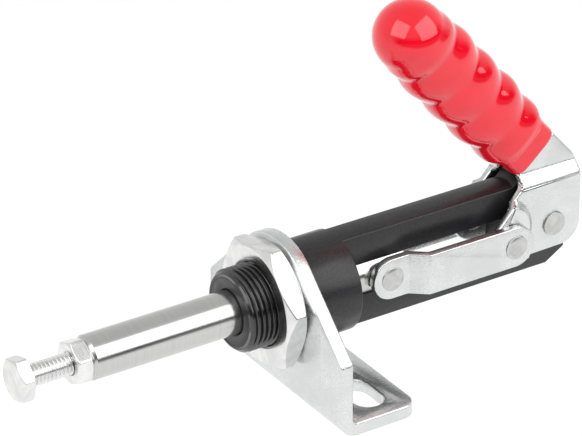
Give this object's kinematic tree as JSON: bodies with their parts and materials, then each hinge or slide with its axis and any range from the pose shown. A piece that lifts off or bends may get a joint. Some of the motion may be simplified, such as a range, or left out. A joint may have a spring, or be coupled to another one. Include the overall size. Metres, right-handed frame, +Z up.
{
  "type": "push-pull toggle clamp",
  "caption": "Push-pull toggle clamp: a hand lever and two side links drive a round plunger through a threaded body on an angle bracket, with an adjustable hex-head screw at its tip.",
  "frame": {"origin": "on the underside of the bracket's foot, midway between its two bolt slots", "axes": "+X the way the plunger pushes, +Z up from the foot, +Y the left side"},
  "size_m": [0.2258, 0.085, 0.1347],
  "materials": {
    "zinc_sheet": "bright zinc plate, satin",
    "zinc_hardware": "bright zinc plate",
    "ground_steel": "ground and hardened, bright",
    "black_steel": "black oxide, satin",
    "rivet_steel": "zinc plate, satin",
    "red_grip": "gloss dipped vinyl"
  },
  "bodies": {
    "root": {"mounting_bracket": "zinc_sheet", "clamp_body": "black_steel", "mounting_nut": "zinc_hardware", "pivot_pin": "rivet_steel"},
    "handle": {"handle_lever": "zinc_sheet", "handle_grip": "red_grip", "lever_rivet_left": "rivet_steel", "lever_rivet_right": "rivet_steel"},
    "links": {"link_left": "zinc_sheet", "link_right": "zinc_sheet", "link_rivet_left": "rivet_steel", "link_rivet_right": "rivet_steel"},
    "plunger": {"plunger": "ground_steel", "plunger_pin": "ground_steel", "lock_nut": "zinc_hardware"},
    "spindle": {"spindle_screw": "zinc_hardware"}
  },
  "joints": [
    {"name": "lever_swing", "type": "hinge", "parent": "root", "child": "handle", "pos_m": [-0.0928, 0, 0.0375], "axis": [0, -1, 0], "range_deg": [0, 180]},
    {"name": "link_swing", "type": "hinge", "parent": "handle", "child": "links", "pos_m": [-0.0728, 0, 0.0359], "axis": [0, -1, 0], "range_deg": [-183.72, 0]},
    {"name": "plunger_slide", "type": "slide", "parent": "root", "child": "plunger", "axis": [1, 0, 0], "range_m": [-0.0401, 0]},
    {"name": "spindle_adjust", "type": "slide", "parent": "plunger", "child": "spindle", "axis": [1, 0, 0], "range_m": [-0.014, 0.008]}
  ],
  "couplings": [
    {"joint": "link_swing", "follows": "lever_swing", "ratio": -1.0205},
    {"joint": "plunger_slide", "follows": "lever_swing", "m_per_rad": -0.012763}
  ]
}
